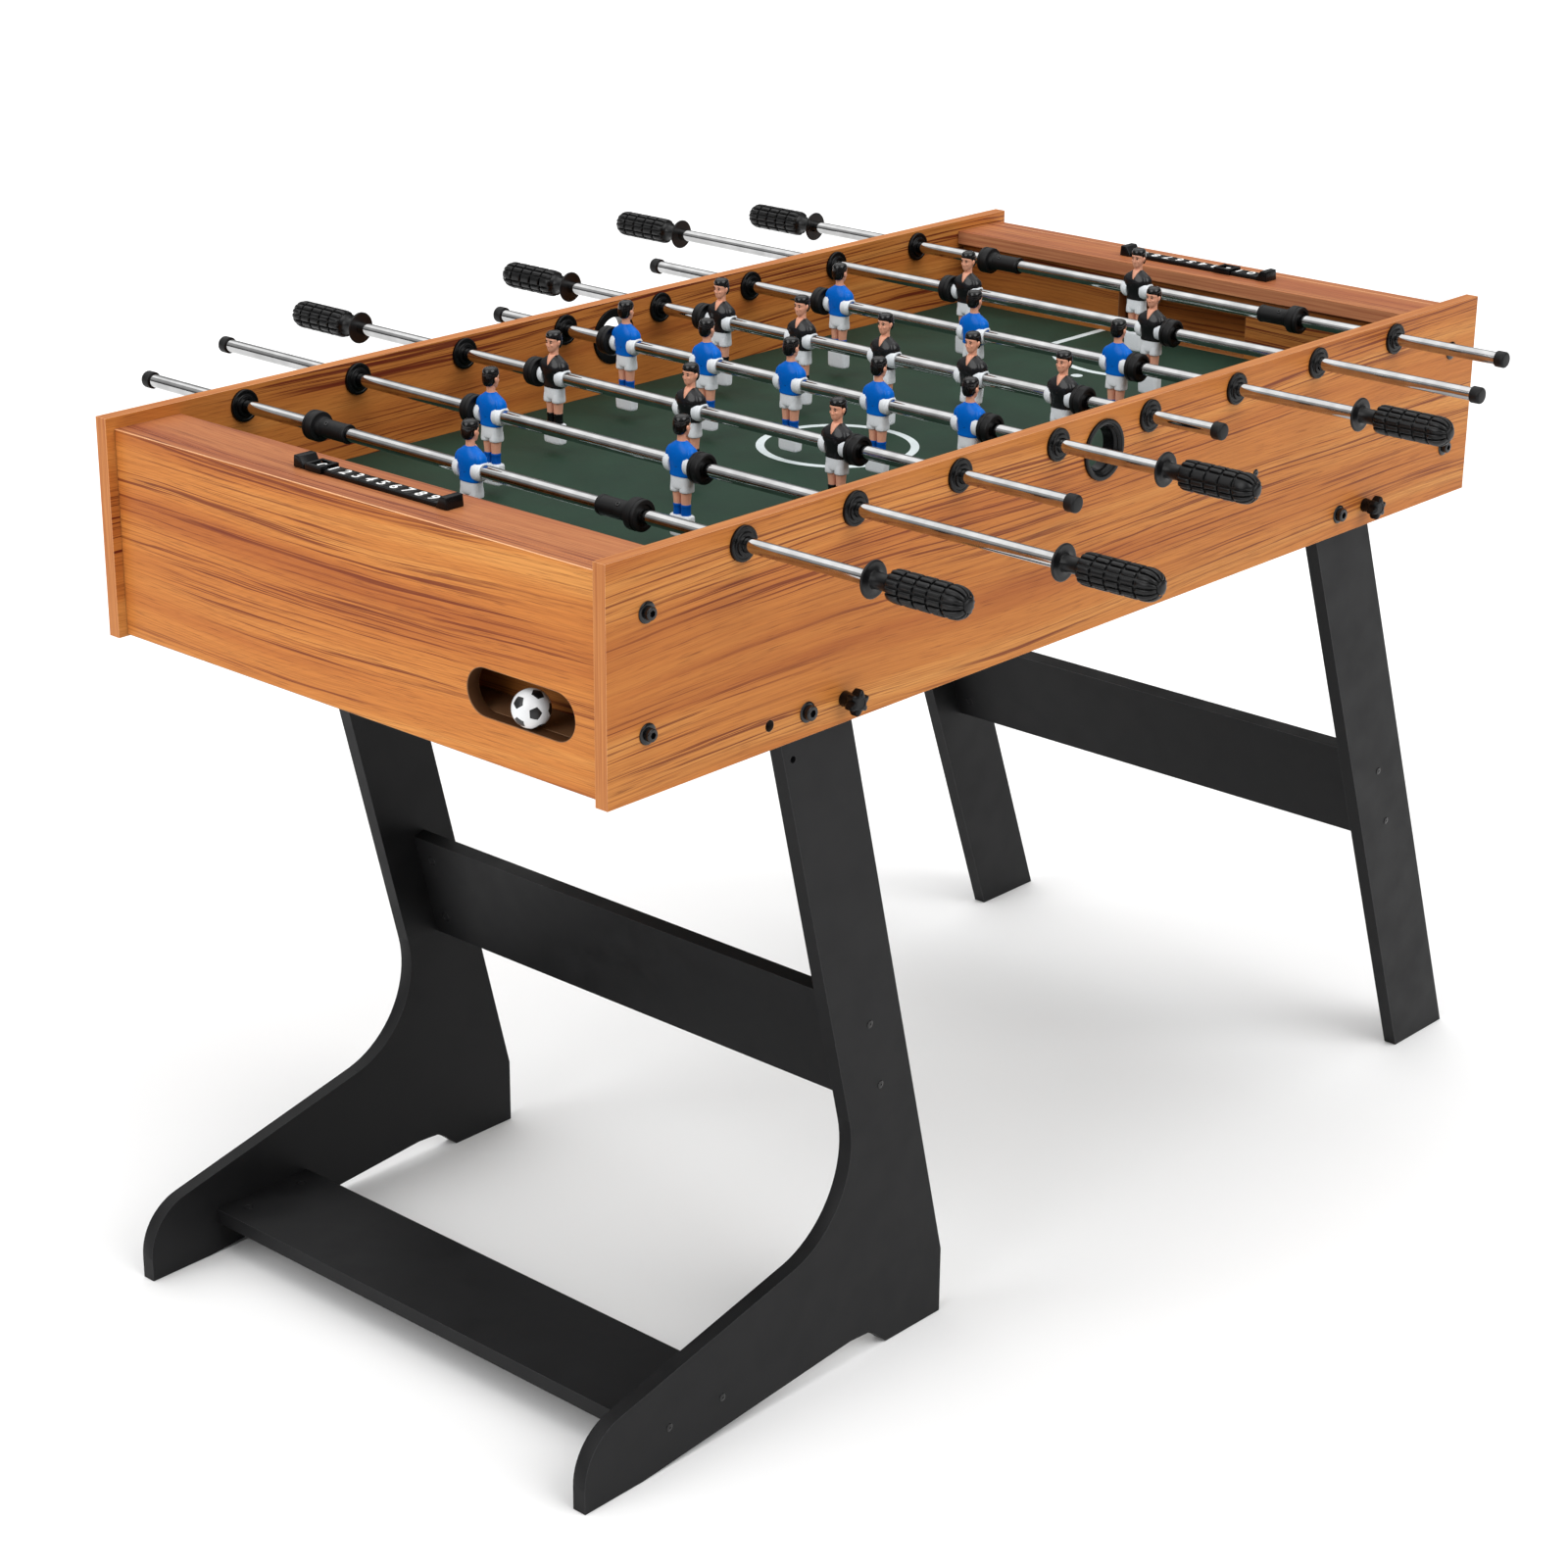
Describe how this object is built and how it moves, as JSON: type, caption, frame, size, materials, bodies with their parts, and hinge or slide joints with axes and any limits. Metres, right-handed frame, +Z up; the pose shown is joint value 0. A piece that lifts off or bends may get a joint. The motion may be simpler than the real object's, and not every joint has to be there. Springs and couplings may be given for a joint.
{
  "type": "folding foosball table",
  "caption": "Folding foosball table: wooden cabinet with playfield, sliding and turning rods with men, score counters, tilting stand and hinged far legs.",
  "frame": {"origin": "on the floor, under the middle of the whole object's box", "axes": "+X along the table from the stand end to the far end, +Y to the left, +Z up"},
  "size_m": [1.3134, 1.2158, 0.8414],
  "materials": {
    "panel_wood": "satin printed laminate",
    "end_wood": "satin printed laminate",
    "rail_wood": "satin printed laminate",
    "inner_wood": "satin printed laminate",
    "raw_wood": "plain board",
    "field_green": "smooth satin film",
    "leg_black": "satin black laminate",
    "bolt_black": "black",
    "rod_chrome": "polished",
    "bush_black": "satin",
    "grip_black": "satin",
    "bumper_rubber": "matt",
    "knob_black": "satin",
    "score_black": "satin",
    "score_slider": "satin",
    "ball_white": "satin",
    "men_blue": "gloss",
    "men_black": "gloss"
  },
  "bodies": {
    "cabinet": {"side_panel_right": "panel_wood", "side_panel_left": "panel_wood", "end_panel_near": "end_wood", "end_panel_far": "end_wood", "top_rails": "rail_wood", "goal_walls": "inner_wood", "ball_troughs": "inner_wood", "playfield": "field_green", "inner_battens": "raw_wood", "rod_bushes": "bush_black", "entry_cups": "bush_black", "score_bars": "score_black", "cabinet_bolts": "bolt_black"},
    "stand": {"stand_leg_right": "leg_black", "stand_leg_left": "leg_black", "stand_boards": "leg_black", "stand_screws": "bolt_black"},
    "far_legs": {"far_leg_right": "leg_black", "far_leg_left": "leg_black", "far_leg_board": "leg_black", "far_leg_screws": "bolt_black"},
    "score_slider_near": {"score_slider_near": "score_slider"},
    "score_slider_far": {"score_slider_far": "score_slider"},
    "ball": {"ball": "ball_white"},
    "knob_near_right": {"knob_near_right": "knob_black"},
    "knob_near_left": {"knob_near_left": "knob_black"},
    "knob_far_right": {"knob_far_right": "knob_black"},
    "knob_far_left": {"knob_far_left": "knob_black"},
    "rod_1_carriage": {"bumpers_1": "bumper_rubber"},
    "rod_1_turning": {"rod_1": "rod_chrome", "grip_1": "grip_black", "men_1": "men_blue"},
    "rod_2_carriage": {"bumpers_2": "bumper_rubber"},
    "rod_2_turning": {"rod_2": "rod_chrome", "grip_2": "grip_black", "men_2": "men_blue"},
    "rod_3_carriage": {"bumpers_3": "bumper_rubber"},
    "rod_3_turning": {"rod_3": "rod_chrome", "grip_3": "grip_black", "men_3": "men_black"},
    "rod_4_carriage": {"bumpers_4": "bumper_rubber"},
    "rod_4_turning": {"rod_4": "rod_chrome", "grip_4": "grip_black", "men_4": "men_blue"},
    "rod_5_carriage": {"bumpers_5": "bumper_rubber"},
    "rod_5_turning": {"rod_5": "rod_chrome", "grip_5": "grip_black", "men_5": "men_black"},
    "rod_6_carriage": {"bumpers_6": "bumper_rubber"},
    "rod_6_turning": {"rod_6": "rod_chrome", "grip_6": "grip_black", "men_6": "men_blue"},
    "rod_7_carriage": {"bumpers_7": "bumper_rubber"},
    "rod_7_turning": {"rod_7": "rod_chrome", "grip_7": "grip_black", "men_7": "men_black"},
    "rod_8_carriage": {"bumpers_8": "bumper_rubber"},
    "rod_8_turning": {"rod_8": "rod_chrome", "grip_8": "grip_black", "men_8": "men_black"}
  },
  "joints": [
    {"name": "table_fold", "type": "hinge", "parent": "stand", "child": "cabinet", "pos_m": [-0.40916, 0, 0.641], "axis": [0, -1, 0], "range_deg": [0, 90]},
    {"name": "far_legs_fold", "type": "hinge", "parent": "cabinet", "child": "far_legs", "pos_m": [0.35684, 0, 0.641], "axis": [0, 1, 0], "range_deg": [0, 110]},
    {"name": "score_near_slide", "type": "slide", "parent": "cabinet", "child": "score_slider_near", "axis": [0, -1, 0], "range_m": [0, 0.135]},
    {"name": "score_far_slide", "type": "slide", "parent": "cabinet", "child": "score_slider_far", "axis": [0, 1, 0], "range_m": [-0.03, 0.105]},
    {"name": "knob_near_right_pull", "type": "slide", "parent": "cabinet", "child": "knob_near_right", "axis": [0, -1, 0], "range_m": [0, 0.03]},
    {"name": "knob_near_left_pull", "type": "slide", "parent": "cabinet", "child": "knob_near_left", "axis": [0, 1, 0], "range_m": [0, 0.03]},
    {"name": "knob_far_right_pull", "type": "slide", "parent": "cabinet", "child": "knob_far_right", "axis": [0, -1, 0], "range_m": [0, 0.03]},
    {"name": "knob_far_left_pull", "type": "slide", "parent": "cabinet", "child": "knob_far_left", "axis": [0, 1, 0], "range_m": [0, 0.03]},
    {"name": "ball_take_out", "type": "slide", "parent": "cabinet", "child": "ball", "axis": [-1, 0, 0], "range_m": [0, 0.06]},
    {"name": "rod_1_push", "type": "slide", "parent": "cabinet", "child": "rod_1_carriage", "axis": [0, 1, 0], "range_m": [-0.087, 0.087]},
    {"name": "rod_1_turn", "type": "hinge", "parent": "rod_1_carriage", "child": "rod_1_turning", "pos_m": [-0.48641, 0, 0.7994], "axis": [0, 1, 0], "continuous": true},
    {"name": "rod_2_push", "type": "slide", "parent": "cabinet", "child": "rod_2_carriage", "axis": [0, 1, 0], "range_m": [-0.143, 0.143]},
    {"name": "rod_2_turn", "type": "hinge", "parent": "rod_2_carriage", "child": "rod_2_turning", "pos_m": [-0.35491, 0, 0.7994], "axis": [0, 1, 0], "continuous": true},
    {"name": "rod_3_push", "type": "slide", "parent": "cabinet", "child": "rod_3_carriage", "axis": [0, 1, 0], "range_m": [-0.086, 0.086]},
    {"name": "rod_3_turn", "type": "hinge", "parent": "rod_3_carriage", "child": "rod_3_turning", "pos_m": [-0.22341, 0, 0.7994], "axis": [0, 1, 0], "continuous": true},
    {"name": "rod_4_push", "type": "slide", "parent": "cabinet", "child": "rod_4_carriage", "axis": [0, 1, 0], "range_m": [-0.049, 0.049]},
    {"name": "rod_4_turn", "type": "hinge", "parent": "rod_4_carriage", "child": "rod_4_turning", "pos_m": [-0.09191, 0, 0.7994], "axis": [0, 1, 0], "continuous": true},
    {"name": "rod_5_push", "type": "slide", "parent": "cabinet", "child": "rod_5_carriage", "axis": [0, 1, 0], "range_m": [-0.049, 0.049]},
    {"name": "rod_5_turn", "type": "hinge", "parent": "rod_5_carriage", "child": "rod_5_turning", "pos_m": [0.03959, 0, 0.7994], "axis": [0, 1, 0], "continuous": true},
    {"name": "rod_6_push", "type": "slide", "parent": "cabinet", "child": "rod_6_carriage", "axis": [0, 1, 0], "range_m": [-0.086, 0.086]},
    {"name": "rod_6_turn", "type": "hinge", "parent": "rod_6_carriage", "child": "rod_6_turning", "pos_m": [0.17109, 0, 0.7994], "axis": [0, 1, 0], "continuous": true},
    {"name": "rod_7_push", "type": "slide", "parent": "cabinet", "child": "rod_7_carriage", "axis": [0, 1, 0], "range_m": [-0.143, 0.143]},
    {"name": "rod_7_turn", "type": "hinge", "parent": "rod_7_carriage", "child": "rod_7_turning", "pos_m": [0.30259, 0, 0.7994], "axis": [0, 1, 0], "continuous": true},
    {"name": "rod_8_push", "type": "slide", "parent": "cabinet", "child": "rod_8_carriage", "axis": [0, 1, 0], "range_m": [-0.087, 0.087]},
    {"name": "rod_8_turn", "type": "hinge", "parent": "rod_8_carriage", "child": "rod_8_turning", "pos_m": [0.43409, 0, 0.7994], "axis": [0, 1, 0], "continuous": true}
  ],
  "couplings": [
    {"joint": "far_legs_fold", "follows": "table_fold", "ratio": 1.2222}
  ]
}
